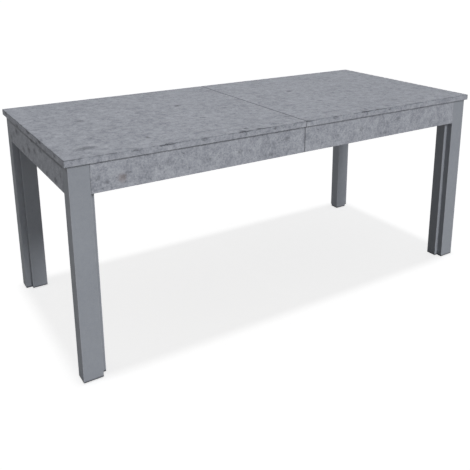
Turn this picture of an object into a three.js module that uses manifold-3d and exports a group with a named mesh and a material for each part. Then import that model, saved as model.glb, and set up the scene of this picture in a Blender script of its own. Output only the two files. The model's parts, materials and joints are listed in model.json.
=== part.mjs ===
// An extendable dining table, closed: two tabletop halves on a split apron frame with four rebated legs.
// The right half pulls away from the left half on telescopic runners, and a leaf is stored under the top.
// Millimetres, +Z up. The origin is on the floor under the middle of the table, +X runs along the length
// and -Y is the front. The left half is the fixed one.

import * as THREE from 'three';
import { mergeVertices } from 'three/addons/utils/BufferGeometryUtils.js';
import Module from 'manifold-3d';

const wasm = await Module();
wasm.setup();

// Driving dimensions
const LENGTH = 1800;
const DEPTH = 820;
const HEIGHT = 770;
const TOP_THICKNESS = 22;
const END_OVERHANG = 11;
const SIDE_OVERHANG = 9;
const APRON_THICKNESS = 24;
const APRON_HEIGHT = 100;
const SEAM = 1.6;
const FIT = 0.3;

// Legs: a post with one rebate for the long apron and one for the end apron
const LEG_FACE = 68;
const LEG_LENGTH = 84.5;
const LEG_DEPTH = 70;
const LEG_END_REBATE = 17.5;
const GLIDE_HEIGHT = 3;
const GLIDE_INSET = 4;
const TOP_GAP = 2;

// Telescopic runners, fixed under the top beside the long aprons
const RUNNER_Y = 300;
const CHANNEL_WIDTH = 30;
const CHANNEL_HEIGHT = 42;
const CHANNEL_WALL = 2.5;
const CHANNEL_LENGTH = 725;
const CHANNEL_LIP = 6;
const CHANNEL_FROM_SEAM = 12;
const SLIDER_LENGTH = 920;
const SLIDER_CLEARANCE = 0.8;
const SLIDER_WALL = 3;

// Extension leaf, stored under the left half on two ledger rails
const LEAF_WIDTH = 480;
const LEAF_END_GAP = 22;
const LEAF_DROP = 8;
const LEDGER_LIP = 28;
const LEDGER_THICKNESS = 12;
const LEDGER_WIDTH = 20;
const LEDGER_FROM_SEAM = 30;
const LEDGER_LENGTH = 760;
const LEDGER_STANDOFF = 18;
const LEDGER_CLEARANCE = 0.5;
const STOP_DEPTH = 18;
const STOP_LENGTH = 300;
const STOP_HEIGHT = 34;

// Corner braces and leg bolts
const BRACE_THICKNESS = 26;
const BRACE_HEIGHT = 70;
const BOLT_RADIUS = 4;
const BOLT_HEAD_RADIUS = 7.5;
const BOLT_HEAD_HEIGHT = 5.5;
const BOLT_WASHER_RADIUS = 11;
const BOLT_WASHER_HEIGHT = 1.6;
const BOLT_GRIP = 45;
const BOLT_SPREAD = 34;
const ROUND_SIDES = 24;

// Seam hardware
const SEAM_BLOCK = { x: 60, y: 22, z: 60 };
const SEAM_BLOCK_FROM_SEAM = 62;
const PIN_RADIUS = 4;
const PIN_LENGTH = 30;
const PIN_OUT = 13;
const PIN_TIP = 2;
const LEAF_PIN_DEPTH = 16;
const LEAF_HOLE_DEPTH = 18;
const PIN_ROWS = [-330, -110, 110, 330];

// Swing hooks, which hang down when the table is free to open
const HOOK_Y = 348;
const HOOK_PIVOT_X = -34;
const HOOK_PIVOT_DROP = 20;
const HOOK_THICKNESS = 4;
const HOOK_WIDTH = 14;
const HOOK_REACH = 56;
const HOOK_SLOT = 7;
const STUD_RADIUS = 2.8;
const RIVET_HEAD_RADIUS = 5;
const RIVET_HEAD = 1.8;
const BRACKET_WALL = 2.5;
const BRACKET_DEPTH = 24;
const BRACKET_LENGTH = 34;

// Heights and faces worked out from the above
const UNDERSIDE = HEIGHT - TOP_THICKNESS;
const APRON_TOP = UNDERSIDE - TOP_GAP;
const APRON_BOTTOM = UNDERSIDE - APRON_HEIGHT;
const END_FACE = LENGTH / 2 - END_OVERHANG;
const SIDE_FACE = DEPTH / 2 - SIDE_OVERHANG;
const FIXED_TOP = UNDERSIDE - FIT;

const CONCRETE = { color: 0x9396a0, roughness: 0.55, metalness: 0 };
const LEG_GREY = { color: 0x868a94, roughness: 0.5, metalness: 0 };
const BEECH = { color: 0xb9925e, roughness: 0.6, metalness: 0 };
const STEEL = { color: 0xb6b9bd, roughness: 0.35, metalness: 1 };
const BLACK_PLASTIC = { color: 0x22242a, roughness: 0.6, metalness: 0 };

const table = new THREE.Group();

// Adds one named piece, made of a geometry that is already in the table's frame.
function addPiece(name, geometry, finish) {
  const mesh = new THREE.Mesh(geometry, new THREE.MeshStandardMaterial(finish));
  mesh.name = name;
  table.add(mesh);
}

// A box between two corners given along each axis.
function boxBetween(x0, x1, y0, y1, z0, z1) {
  const geometry = new THREE.BoxGeometry(Math.abs(x1 - x0), Math.abs(y1 - y0), Math.abs(z1 - z0));
  geometry.translate((x0 + x1) / 2, (y0 + y1) / 2, (z0 + z1) / 2);
  return geometry;
}

// A straight prism of an outline in plan, between two heights.
function prism(points, z0, z1) {
  const geometry = new THREE.ExtrudeGeometry(outline(points), { depth: z1 - z0, bevelEnabled: false });
  geometry.translate(0, 0, z0);
  return geometry;
}

// A closed shape through the points, wound anticlockwise.
function outline(points) {
  const vectors = points.map(([a, b]) => new THREE.Vector2(a, b));
  if (THREE.ShapeUtils.isClockWise(vectors)) {
    vectors.reverse();
  }
  return new THREE.Shape(vectors);
}

// A prism of an outline in the XZ plane, between two places along Y.
function sidePrism(points, y0, y1) {
  const geometry = new THREE.ExtrudeGeometry(outline(points), { depth: y1 - y0, bevelEnabled: false });
  geometry.rotateX(Math.PI / 2);
  geometry.translate(0, y1, 0);
  return geometry;
}

// A prism of an outline in the YZ plane, between two places along X.
function lengthPrism(points, x0, x1) {
  const geometry = new THREE.ExtrudeGeometry(outline(points), { depth: x1 - x0, bevelEnabled: false });
  geometry.rotateX(Math.PI / 2);
  geometry.rotateZ(Math.PI / 2);
  geometry.translate(x0, 0, 0);
  return geometry;
}

// A round bar of one or more steps along a direction, each step being [radius, from, to].
function steppedBar(steps, start, direction) {
  const profile = [new THREE.Vector2(0, steps[0][1])];
  for (const [radius, from, to] of steps) {
    profile.push(new THREE.Vector2(radius, from), new THREE.Vector2(radius, to));
  }
  profile.push(new THREE.Vector2(0, steps[steps.length - 1][2]));
  const geometry = new THREE.LatheGeometry(profile, ROUND_SIDES);
  const along = new THREE.Vector3(...direction).normalize();
  const turn = new THREE.Quaternion().setFromUnitVectors(new THREE.Vector3(0, 1, 0), along);
  geometry.applyQuaternion(turn);
  geometry.translate(...start);
  return geometry;
}

// The geometry as a solid that can be cut and joined.
function solid(geometry) {
  const bare = geometry.clone();
  bare.deleteAttribute('normal');
  bare.deleteAttribute('uv');
  const merged = mergeVertices(bare, 1e-4);
  const vertProperties = new Float32Array(merged.attributes.position.array);
  const triVerts = new Uint32Array(merged.index.array);
  return new wasm.Manifold(new wasm.Mesh({ numProp: 3, vertProperties, triVerts }));
}

// The solid as a geometry again.
function geometryOf(shape) {
  const mesh = shape.getMesh();
  const geometry = new THREE.BufferGeometry();
  geometry.setAttribute('position', new THREE.BufferAttribute(mesh.vertProperties, 3));
  geometry.setIndex(new THREE.BufferAttribute(mesh.triVerts, 1));
  geometry.computeVertexNormals();
  return geometry;
}

function cut(body, ...tools) {
  return geometryOf(tools.reduce((left, tool) => left.subtract(solid(tool)), solid(body)));
}

function join(...bodies) {
  return geometryOf(bodies.map(solid).reduce((all, one) => all.add(one)));
}

// side is -1 for the left half and 1 for the right half; face is -1 for the front and 1 for the back.
const HALVES = [['left', -1], ['right', 1]];
const FACES = [['front', -1], ['back', 1]];

// Tabletop halves. The left edge carries pins at the seam, and both halves are bored for them.
function pinHole(y, x) {
  const depth = PIN_LENGTH / 2 + 4;
  return steppedBar([[PIN_RADIUS + FIT, -depth, depth]], [x, y, UNDERSIDE + TOP_THICKNESS / 2], [1, 0, 0]);
}

for (const [half, side] of HALVES) {
  const slab = boxBetween(side * SEAM / 2, side * LENGTH / 2, -DEPTH / 2, DEPTH / 2, UNDERSIDE, HEIGHT);
  addPiece(`top_${half}`, cut(slab, ...PIN_ROWS.map((y) => pinHole(y, 0))), CONCRETE);
}

PIN_ROWS.forEach((y, row) => {
  const middle = [0, y, UNDERSIDE + TOP_THICKNESS / 2];
  const pin = steppedBar([
    [PIN_RADIUS - 1, PIN_OUT - PIN_LENGTH - 1, PIN_OUT - PIN_LENGTH],
    [PIN_RADIUS, PIN_OUT - PIN_LENGTH, PIN_OUT],
    [PIN_RADIUS - 1.5, PIN_OUT, PIN_OUT + PIN_TIP],
  ], middle, [1, 0, 0]);
  addPiece(`seam_pin_${row + 1}`, pin, BEECH);
});

// Aprons
for (const [half, side] of HALVES) {
  const legInner = LEG_FACE + FIT;
  const near = side * SEAM / 2;
  const far = side * (END_FACE - legInner);
  for (const [name, face] of FACES) {
    const outer = face * SIDE_FACE;
    const inner = face * (SIDE_FACE - APRON_THICKNESS);
    const rail = boxBetween(near, far, inner, outer, APRON_BOTTOM, APRON_TOP);
    addPiece(`apron_${name}_${half}`, rail, CONCRETE);
  }
  const reach = SIDE_FACE - (LEG_DEPTH - LEG_END_REBATE) - FIT;
  const rail = boxBetween(
    side * END_FACE, side * (END_FACE - APRON_THICKNESS), -reach, reach, APRON_BOTTOM, APRON_TOP,
  );
  addPiece(`apron_end_${half}`, rail, CONCRETE);
}

// Legs and glides. A leg's section is drawn from the corner of the apron frame: first along the length,
// then along the depth.
const rebate = APRON_THICKNESS + FIT;
const LEG_SECTION = [
  [0, 0],
  [LEG_FACE, 0],
  [LEG_FACE, rebate],
  [LEG_LENGTH, rebate],
  [LEG_LENGTH, LEG_DEPTH],
  [rebate, LEG_DEPTH],
  [rebate, LEG_DEPTH - LEG_END_REBATE],
  [0, LEG_DEPTH - LEG_END_REBATE],
];

// A point of the corner's own plan, in the table's frame.
function atCorner(side, face, [along, across]) {
  return [side * (END_FACE - along), face * (SIDE_FACE - across)];
}

// A leg bolt's axis: across the corner, through the brace, into the leg's inner corner.
const LEG_CORNER = LEG_LENGTH + LEG_DEPTH;
const BRACE_NEAR = LEG_CORNER + 2;
const BRACE_FAR = BRACE_NEAR + BRACE_THICKNESS * Math.SQRT2;
const BOLT_OFFSET = (LEG_LENGTH - LEG_DEPTH) / 2;

function boltStart(side, face, height) {
  const [x, y] = atCorner(side, face, [BRACE_FAR / 2 + BOLT_OFFSET, BRACE_FAR / 2 - BOLT_OFFSET]);
  return [x, y, height];
}

function boltHeights() {
  const middle = FIXED_TOP - BRACE_HEIGHT / 2;
  return [['upper', middle + BOLT_SPREAD / 2], ['lower', middle - BOLT_SPREAD / 2]];
}

for (const [half, side] of HALVES) {
  for (const [name, face] of FACES) {
    const corner = `${name}_${half}`;
    const into = [side, face, 0];
    const bores = boltHeights().map(([, height]) => (
      steppedBar([[BOLT_RADIUS + FIT, -20, BRACE_THICKNESS + BOLT_GRIP]], boltStart(side, face, height), into)
    ));

    const section = LEG_SECTION.map((point) => atCorner(side, face, point));
    addPiece(`leg_${corner}`, cut(prism(section, GLIDE_HEIGHT, APRON_TOP), ...bores), LEG_GREY);

    const pad = [
      [GLIDE_INSET, GLIDE_INSET],
      [LEG_FACE - GLIDE_INSET, GLIDE_INSET],
      [LEG_FACE - GLIDE_INSET, LEG_DEPTH - LEG_END_REBATE - GLIDE_INSET],
      [GLIDE_INSET, LEG_DEPTH - LEG_END_REBATE - GLIDE_INSET],
    ].map((point) => atCorner(side, face, point));
    addPiece(`glide_${corner}`, prism(pad, 0, GLIDE_HEIGHT - FIT / 10), BLACK_PLASTIC);

    const edge = rebate + FIT;
    const brace = [
      [BRACE_NEAR - edge, edge],
      [BRACE_FAR - edge, edge],
      [edge, BRACE_FAR - edge],
      [edge, BRACE_NEAR - edge],
    ].map((point) => atCorner(side, face, point));
    addPiece(`brace_${corner}`, cut(prism(brace, FIXED_TOP - BRACE_HEIGHT, FIXED_TOP), ...bores), BEECH);

    for (const [level, height] of boltHeights()) {
      const bolt = steppedBar([
        [BOLT_HEAD_RADIUS, -FIT - BOLT_WASHER_HEIGHT - BOLT_HEAD_HEIGHT, -FIT - BOLT_WASHER_HEIGHT],
        [BOLT_WASHER_RADIUS, -FIT - BOLT_WASHER_HEIGHT, -FIT],
        [BOLT_RADIUS, -FIT, BRACE_THICKNESS + BOLT_GRIP - 5],
      ], boltStart(side, face, height), into);
      addPiece(`leg_bolt_${level}_${corner}`, bolt, STEEL);
    }
  }
}

// Seam blocks, which hold the long aprons' free ends under the top
for (const [half, side] of HALVES) {
  for (const [name, face] of FACES) {
    const outer = face * (SIDE_FACE - APRON_THICKNESS - FIT);
    const start = side * SEAM_BLOCK_FROM_SEAM;
    const block = boxBetween(
      start, start + side * SEAM_BLOCK.x, outer, outer - face * SEAM_BLOCK.y, FIXED_TOP - SEAM_BLOCK.z, FIXED_TOP,
    );
    addPiece(`seam_block_${name}_${half}`, block, BEECH);
  }
}

// Runners: a lipped channel open downwards on each half, and one sliding bar that runs in both channels
const CHANNEL_BOTTOM = FIXED_TOP - CHANNEL_HEIGHT;

function channelSection(y) {
  const w = CHANNEL_WIDTH / 2;
  const t = CHANNEL_WALL;
  return [
    [y - w, FIXED_TOP],
    [y + w, FIXED_TOP],
    [y + w, CHANNEL_BOTTOM],
    [y + w - CHANNEL_LIP, CHANNEL_BOTTOM],
    [y + w - CHANNEL_LIP, CHANNEL_BOTTOM + t],
    [y + w - t, CHANNEL_BOTTOM + t],
    [y + w - t, FIXED_TOP - t],
    [y - w + t, FIXED_TOP - t],
    [y - w + t, CHANNEL_BOTTOM + t],
    [y - w + CHANNEL_LIP, CHANNEL_BOTTOM + t],
    [y - w + CHANNEL_LIP, CHANNEL_BOTTOM],
    [y - w, CHANNEL_BOTTOM],
  ];
}

for (const [name, face] of FACES) {
  const y = face * RUNNER_Y;
  for (const [half, side] of HALVES) {
    const ends = [side * CHANNEL_FROM_SEAM, side * (CHANNEL_FROM_SEAM + CHANNEL_LENGTH)];
    const channel = lengthPrism(channelSection(y), Math.min(...ends), Math.max(...ends));
    addPiece(`runner_channel_${name}_${half}`, channel, STEEL);
  }
  const reach = CHANNEL_WIDTH / 2 - CHANNEL_WALL - SLIDER_CLEARANCE;
  const bottom = CHANNEL_BOTTOM + CHANNEL_WALL + SLIDER_CLEARANCE;
  const top = FIXED_TOP - CHANNEL_WALL - SLIDER_CLEARANCE;
  const section = [
    [y - reach, bottom],
    [y - reach + SLIDER_WALL, bottom],
    [y - reach + SLIDER_WALL, top - SLIDER_WALL],
    [y + reach - SLIDER_WALL, top - SLIDER_WALL],
    [y + reach - SLIDER_WALL, bottom],
    [y + reach, bottom],
    [y + reach, top],
    [y - reach, top],
  ];
  addPiece(`runner_slider_${name}`, lengthPrism(section, -SLIDER_LENGTH / 2, SLIDER_LENGTH / 2), STEEL);
}

// Extension leaf, its pins and the ledger rails that carry it
const leafTop = FIXED_TOP - LEAF_DROP;
const leafBottom = leafTop - TOP_THICKNESS;
const leafEnds = [-LEAF_END_GAP - DEPTH, -LEAF_END_GAP];
const leafHalf = LEAF_WIDTH / 2;

function leafPin(x) {
  return steppedBar([
    [PIN_RADIUS - 1, -LEAF_PIN_DEPTH - 1, -LEAF_PIN_DEPTH],
    [PIN_RADIUS, -LEAF_PIN_DEPTH, PIN_OUT],
    [PIN_RADIUS - 1.5, PIN_OUT, PIN_OUT + PIN_TIP],
  ], [x, leafHalf, (leafTop + leafBottom) / 2], [0, 1, 0]);
}

function leafHole(x, y) {
  const bore = [PIN_RADIUS + FIT, -LEAF_HOLE_DEPTH, LEAF_HOLE_DEPTH];
  return steppedBar([bore], [x, y, (leafTop + leafBottom) / 2], [0, 1, 0]);
}

const leafMiddle = (leafEnds[0] + leafEnds[1]) / 2;
const leafPins = PIN_ROWS.map((y) => leafMiddle + y);
const leafSlab = boxBetween(leafEnds[0], leafEnds[1], -leafHalf, leafHalf, leafBottom, leafTop);
const leafHoles = leafPins.flatMap((x) => [leafHole(x, leafHalf), leafHole(x, -leafHalf)]);
addPiece('extension_leaf', cut(leafSlab, ...leafHoles), CONCRETE);
leafPins.forEach((x, row) => addPiece(`leaf_pin_${row + 1}`, leafPin(x), BEECH));

for (const [name, face] of FACES) {
  const inner = leafHalf + LEDGER_STANDOFF;
  const bottom = leafBottom - LEDGER_CLEARANCE - LEDGER_THICKNESS;
  const lip = leafHalf - LEDGER_LIP;
  const y = (value) => face * value;
  const section = [
    [y(inner + LEDGER_WIDTH), FIXED_TOP],
    [y(inner), FIXED_TOP],
    [y(inner), bottom + LEDGER_THICKNESS],
    [y(lip), bottom + LEDGER_THICKNESS],
    [y(lip), bottom],
    [y(inner + LEDGER_WIDTH), bottom],
  ];
  const rail = lengthPrism(section, -LEDGER_FROM_SEAM - LEDGER_LENGTH, -LEDGER_FROM_SEAM);
  addPiece(`leaf_ledger_${name}`, rail, BEECH);
}
const stopFace = leafEnds[0] - FIT;
const stopBlock = boxBetween(
  stopFace - STOP_DEPTH, stopFace, -STOP_LENGTH / 2, STOP_LENGTH / 2, FIXED_TOP - STOP_HEIGHT, FIXED_TOP,
);
addPiece('leaf_stop', stopBlock, BEECH);

// Swing hooks: a bracket and hook on the left half, and a keeper with its stud on the right half. Each hook
// hangs straight down, and swings up to the right until its notch takes the stud.
const PIVOT_Z = FIXED_TOP - HOOK_PIVOT_DROP;
const STUD_X = HOOK_PIVOT_X + HOOK_REACH;

// An angle bracket under the top: a screwed plate and a flange that hangs beside the hook.
function bracket(x, face) {
  const flange = face * (HOOK_Y + HOOK_THICKNESS / 2 + 1);
  const plate = boxBetween(
    x - BRACKET_LENGTH / 2, x + BRACKET_LENGTH / 2,
    flange, flange - face * BRACKET_DEPTH, FIXED_TOP - BRACKET_WALL, FIXED_TOP,
  );
  const wall = boxBetween(
    x - BRACKET_LENGTH / 2, x + BRACKET_LENGTH / 2,
    flange, flange + face * BRACKET_WALL, PIVOT_Z - HOOK_WIDTH / 2, FIXED_TOP,
  );
  return join(plate, wall);
}

// A rivet across the hook, from inside it to the far side of the bracket's flange.
function crossRivet(x, face) {
  const near = -HOOK_THICKNESS / 2 - 0.6;
  const far = HOOK_THICKNESS / 2 + 1 + BRACKET_WALL + FIT;
  return steppedBar([
    [RIVET_HEAD_RADIUS, near - RIVET_HEAD, near],
    [STUD_RADIUS, near, far],
    [RIVET_HEAD_RADIUS, far, far + RIVET_HEAD],
  ], [x, face * HOOK_Y, PIVOT_Z], [0, face, 0]);
}

function rivetHole(x, face) {
  return steppedBar([[STUD_RADIUS + FIT, -15, 15]], [x, face * HOOK_Y, PIVOT_Z], [0, face, 0]);
}

for (const [name, face] of FACES) {
  addPiece(`hook_bracket_${name}`, cut(bracket(HOOK_PIVOT_X, face), rivetHole(HOOK_PIVOT_X, face)), STEEL);
  addPiece(`hook_pivot_${name}`, crossRivet(HOOK_PIVOT_X, face), STEEL);

  const w = HOOK_WIDTH / 2;
  const notchTop = -HOOK_REACH + HOOK_SLOT / 2;
  const notchBottom = -HOOK_REACH - HOOK_SLOT / 2;
  const arm = [
    [-w * 0.6, w],
    [w * 0.6, w],
    [w, w * 0.6],
    [w, notchTop],
    [-HOOK_SLOT / 2, notchTop],
    [-HOOK_SLOT / 2, notchBottom],
    [w, notchBottom],
    [w, notchBottom - 4],
    [w * 0.4, notchBottom - 9],
    [-w * 0.6, notchBottom - 9],
    [-w, notchBottom - 5],
    [-w, w * 0.6],
  ].map(([x, z]) => [HOOK_PIVOT_X + x, PIVOT_Z + z]);
  const plate = sidePrism(arm, face * HOOK_Y - HOOK_THICKNESS / 2, face * HOOK_Y + HOOK_THICKNESS / 2);
  addPiece(`swing_hook_${name}`, cut(plate, rivetHole(HOOK_PIVOT_X, face)), STEEL);

  const stud = crossRivet(STUD_X, face);
  addPiece(`hook_keeper_${name}`, join(bracket(STUD_X + 8, face), stud), STEEL);
}

export default table;
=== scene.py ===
import json
import math

import bmesh
import bpy
from mathutils import Matrix, Vector


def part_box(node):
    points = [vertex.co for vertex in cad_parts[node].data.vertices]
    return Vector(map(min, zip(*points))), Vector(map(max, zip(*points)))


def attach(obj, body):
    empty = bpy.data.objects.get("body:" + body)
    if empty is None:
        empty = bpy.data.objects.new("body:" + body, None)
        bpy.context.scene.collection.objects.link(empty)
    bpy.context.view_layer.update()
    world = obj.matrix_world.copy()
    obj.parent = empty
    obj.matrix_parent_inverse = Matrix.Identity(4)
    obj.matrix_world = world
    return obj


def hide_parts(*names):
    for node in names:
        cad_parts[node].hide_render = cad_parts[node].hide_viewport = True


# The looks of an extendable dining table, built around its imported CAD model. Metres, +Z up, -Y is the front.
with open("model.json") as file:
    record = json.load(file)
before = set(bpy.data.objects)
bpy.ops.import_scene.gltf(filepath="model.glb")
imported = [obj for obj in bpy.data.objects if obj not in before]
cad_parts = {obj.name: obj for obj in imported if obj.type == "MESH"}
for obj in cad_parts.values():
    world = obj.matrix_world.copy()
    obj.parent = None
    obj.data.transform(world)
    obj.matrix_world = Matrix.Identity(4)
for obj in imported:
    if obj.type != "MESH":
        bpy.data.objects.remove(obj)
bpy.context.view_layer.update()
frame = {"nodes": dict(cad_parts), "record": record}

MM = 0.001
SIDES = ("left", "right")

# The edge band of a board: its thickness, and the rounding of its arrises and of its corners in plan. The
# corners of its inner outlines are never sharper than the least radius.
BAND = 1.0 * MM
BAND_RADIUS = 0.9 * MM
CORNER_RADIUS = 1.2 * MM
LEAST_RADIUS = 0.05 * MM

# The core of a board: its gap to the band, and its own small bevel
CORE_GAP = 0.06 * MM
CORE_BEVEL = 0.12 * MM

# Edges that turn by more than this are shaded as creases
SHARP_ANGLE = math.radians(38)

# Points this close are one, faces that turn by less than this are one, and less than a hair counts as level
WELD_DISTANCE = 1e-6
FLAT_ANGLE = math.radians(0.5)
HAIR = 1e-7

# How far the edges of each kind of piece are rounded
BOARD_BEVEL = 0.7 * MM
LEG_BEVEL = 1.3 * MM
GLIDE_BEVEL = 0.8 * MM
WOOD_BEVEL = 1.5 * MM
STEEL_BEVEL = 0.5 * MM
FITTING_BEVEL = 0.45 * MM
PLUG_BEVEL = 1.0 * MM

# Leg bolts, from the head to the tip
BOLT_HEAD_HEIGHT = 5.5 * MM
BOLT_HEAD_RADIUS = 7.4 * MM
BOLT_FACE_RADIUS = 5.6 * MM
BOLT_HEAD_DISH = 0.4 * MM
BOLT_CHAMFER = 1.1 * MM
WASHER_THICKNESS = 1.6 * MM
WASHER_RADIUS = 11.0 * MM
WASHER_CHAMFER = 0.4 * MM
SHANK_RADIUS = 3.9 * MM
SHANK_PLAIN = 30 * MM
SHANK_TIP_RADIUS = 2.4 * MM
SHANK_TIP = 1 * MM
THREAD_ROOT_RADIUS = 3.3 * MM
THREAD_FLANK = 0.6 * MM
THREAD_PITCH = 1.25 * MM
THREAD_END = 2 * MM

# Dowels: the points round them, how many of those each flute takes, and its depth as a share of the radius
DOWEL_RADIUS = 3.95 * MM
DOWEL_POINTS = 64
FLUTE_EVERY = 4
FLUTE_DEPTH = 0.07

# Screw heads and their cross recess
SCREW_RADIUS = 4.2 * MM
SCREW_HEIGHT = 2.3 * MM
RECESS_WIDTH = 0.95 * MM
RECESS_LENGTH = 4.6 * MM
RECESS_DEPTH = 1.5 * MM
RECESS_TAPER = 0.55

# Where the screws stand: in the webs of the runners, the walls of the ledgers, the leaf stop, the seam
# blocks, the plates of the hooks and the braces
RUNNER_WEB = 2.5 * MM
RUNNER_SCREWS = (500 * MM, 605 * MM, 710 * MM)
LEDGER_WALL = 20 * MM
LEDGER_SCREW_INSET = 35 * MM
LEDGER_SCREWS = 5
STOP_SCREWS = (-110 * MM, 0, 110 * MM)
SEAM_SCREW_ASIDE = 16 * MM
SEAM_SCREW_INSET = 20 * MM
PLATE_THICKNESS = 2.5 * MM
PLATE_SCREW_INSET = 8 * MM
PLATE_SCREW_FROM_EDGE = 8.5 * MM
BRACE_SCREW_PARTS = (0.10, 0.90)
BRACE_SCREW_INSET = 18 * MM

# Plastic plugs in the ends of the runners
PLUG_LENGTH = 9 * MM
PLUG_GAP = 0.15 * MM
CHANNEL_WALL = 2.5 * MM
SLIDER_WALL = 3 * MM

# The closed top, from the middle of the table and from the floor
TOP_HALF_LENGTH = 900 * MM
TOP_HALF_DEPTH = 410 * MM
TOP_HEIGHT = 770 * MM

# Where each board's print lies along the roll
PRINT_SHIFT = {"left": 0.0, "right": -0.565}
LEAF_PRINT_SHIFT = 1.30

# Dirt and painted shade in the finishes. Each pair holds the two heights, or the two distances from the seam's
# plane or from the rim, between which it comes or goes.
RIM_GRIME = (1.6 * MM, 3.4 * MM)
# the painted shade under the overhang of the top's ends
OVERHANG_SHADE_FOOT = (726.2 * MM, 730.0 * MM)
OVERHANG_SHADE_HEAD = (746.5 * MM, 747.5 * MM)
OVERHANG_SHADE_FROM_SEAM = (887.0 * MM, 888.5 * MM)
SEAM_DIRT = (1.8 * MM, 3.0 * MM)
# the painted shade on the top's lower arris
ARRIS_SHADE_FOOT = (747.0 * MM, 747.8 * MM)
ARRIS_SHADE_HEAD = (748.5 * MM, 749.5 * MM)
# the painted contact shade at the feet of the legs
FOOT_SHADE = (6.5 * MM, 10.5 * MM)

# Light as radiance on a white surface that faces it, then each light: name, strength, where it comes from,
# and its width in degrees
SKY = 0.185
SKY_SEEN = 1.05
FLOOR_ALBEDO = 0.80
FLOOR_LIFT = 0.75
FLOOR_BOUNCE = 0.08
FLOOR_HALF = 40.0
LIGHTS = (
    ("overhead", 0.17, (0.0, 0.0, 1.0), 5),
    ("key", 0.66, (0.10, -0.90, 0.64), 16),
    ("left fill", 0.24, (-0.45, 0.28, 0.80), 7),
    ("front fill", 0.125, (0.0, -1.0, 0.15), 30),
    ("back fill", 0.34, (0.55, 0.80, 0.14), 30),
)

# The camera
CAMERA_PLACE = (-1.390, -2.190, 1.329)
CAMERA_PITCH = math.radians(14.91)
CAMERA_YAW = math.radians(32.88)
CAMERA_LENS = 48.14
CAMERA_SENSOR = 36.0
CAMERA_SHIFT_X = -0.037
CAMERA_SHIFT_Y = -0.22


# ---------------------------------------------------------------- colours and node trees


def srgb(r, g, b):
    """A display colour, 0 to 255, as a linear colour with alpha."""
    def linear(value):
        value /= 255
        return value / 12.92 if value <= 0.04045 else ((value + 0.055) / 1.055) ** 2.4
    return (linear(r), linear(g), linear(b), 1.0)


class Finish:
    """A material under construction: a Principled surface and the nodes that drive it."""

    def __init__(self, name, **surface):
        self.material = bpy.data.materials.new(name)
        self.material.use_nodes = True
        self.tree = self.material.node_tree
        self.surface = self.tree.nodes["Principled BSDF"]
        for key, value in surface.items():
            self.surface.inputs[key.replace("_", " ")].default_value = value
        self.place = self.add("ShaderNodeTexCoord").outputs["Object"]

    def add(self, kind, inputs=None, **settings):
        """A node with its settings made and its inputs set or linked."""
        node = self.tree.nodes.new(kind)
        for key, value in settings.items():
            setattr(node, key, value)
        for key, value in (inputs or {}).items():
            if isinstance(value, bpy.types.NodeSocket):
                self.tree.links.new(value, node.inputs[key])
            else:
                node.inputs[key].default_value = value
        return node

    def math(self, operation, a, b=0.0, c=0.0):
        return self.add("ShaderNodeMath", {0: a, 1: b, 2: c}, operation=operation).outputs[0]

    def weigh(self, parts):
        """The weighted sum of (value, share) parts."""
        total = 0.0
        for value, share in parts:
            total = self.math("MULTIPLY_ADD", value, share, total)
        return total

    def vector(self, operation, a, b=(0, 0, 0)):
        node = self.add("ShaderNodeVectorMath", {0: a, 1: b}, operation=operation)
        return node.outputs["Value" if operation in ("DISTANCE", "LENGTH") else "Vector"]

    def noise(self, scale, detail=2.0, roughness=0.5, place=None, distortion=0.0):
        inputs = {
            "Vector": place or self.place, "Scale": scale, "Detail": detail,
            "Roughness": roughness, "Distortion": distortion,
        }
        return self.add("ShaderNodeTexNoise", inputs).outputs["Fac"]

    def warped(self, place, scale, amount):
        """The place pushed about by a noise, at most about amount each way."""
        push = self.add("ShaderNodeTexNoise", {"Vector": place, "Scale": scale, "Detail": 3.0})
        centred = self.vector("SUBTRACT", push.outputs["Color"], (0.5, 0.5, 0.5))
        scaled = self.add("ShaderNodeVectorMath", {0: centred, "Scale": 2 * amount}, operation="SCALE")
        return self.vector("ADD", place, scaled.outputs[0])

    def ramp(self, factor, stops):
        """A colour ramp through (position, colour) stops."""
        node = self.add("ShaderNodeValToRGB", {"Fac": factor})
        elements = node.color_ramp.elements
        while len(elements) < len(stops):
            elements.new(0.5)
        for element, (position, colour) in zip(elements, stops):
            element.position = position
            element.color = colour
        return node.outputs["Color"]

    def span(self, value, low, high, to_low=0.0, to_high=1.0):
        """value mapped from low..high to to_low..to_high, held at the ends, with soft ends."""
        inputs = {"Value": value, "From Min": low, "From Max": high, "To Min": to_low, "To Max": to_high}
        return self.add("ShaderNodeMapRange", inputs, interpolation_type="SMOOTHSTEP").outputs["Result"]

    def mix(self, factor, a, b, blend="MIX"):
        inputs = {0: factor, 6: a, 7: b}
        return self.add("ShaderNodeMix", inputs, data_type="RGBA", blend_type=blend).outputs[2]

    def edge(self):
        """1 on the rounded edges of a machined piece, 0 on its faces."""
        return self.add("ShaderNodeAttribute", attribute_name="edge").outputs["Fac"]

    def bump(self, height, distance, strength=1.0, under=None):
        inputs = {"Height": height, "Distance": distance, "Strength": strength}
        if under is not None:
            inputs["Normal"] = under
        return self.add("ShaderNodeBump", inputs).outputs["Normal"]

    def done(self, colour, roughness, normal=None):
        self.tree.links.new(colour, self.surface.inputs["Base Color"])
        self.tree.links.new(roughness, self.surface.inputs["Roughness"])
        if normal is not None:
            self.tree.links.new(normal, self.surface.inputs["Normal"])
        return self.material


# ---------------------------------------------------------------- materials

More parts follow.
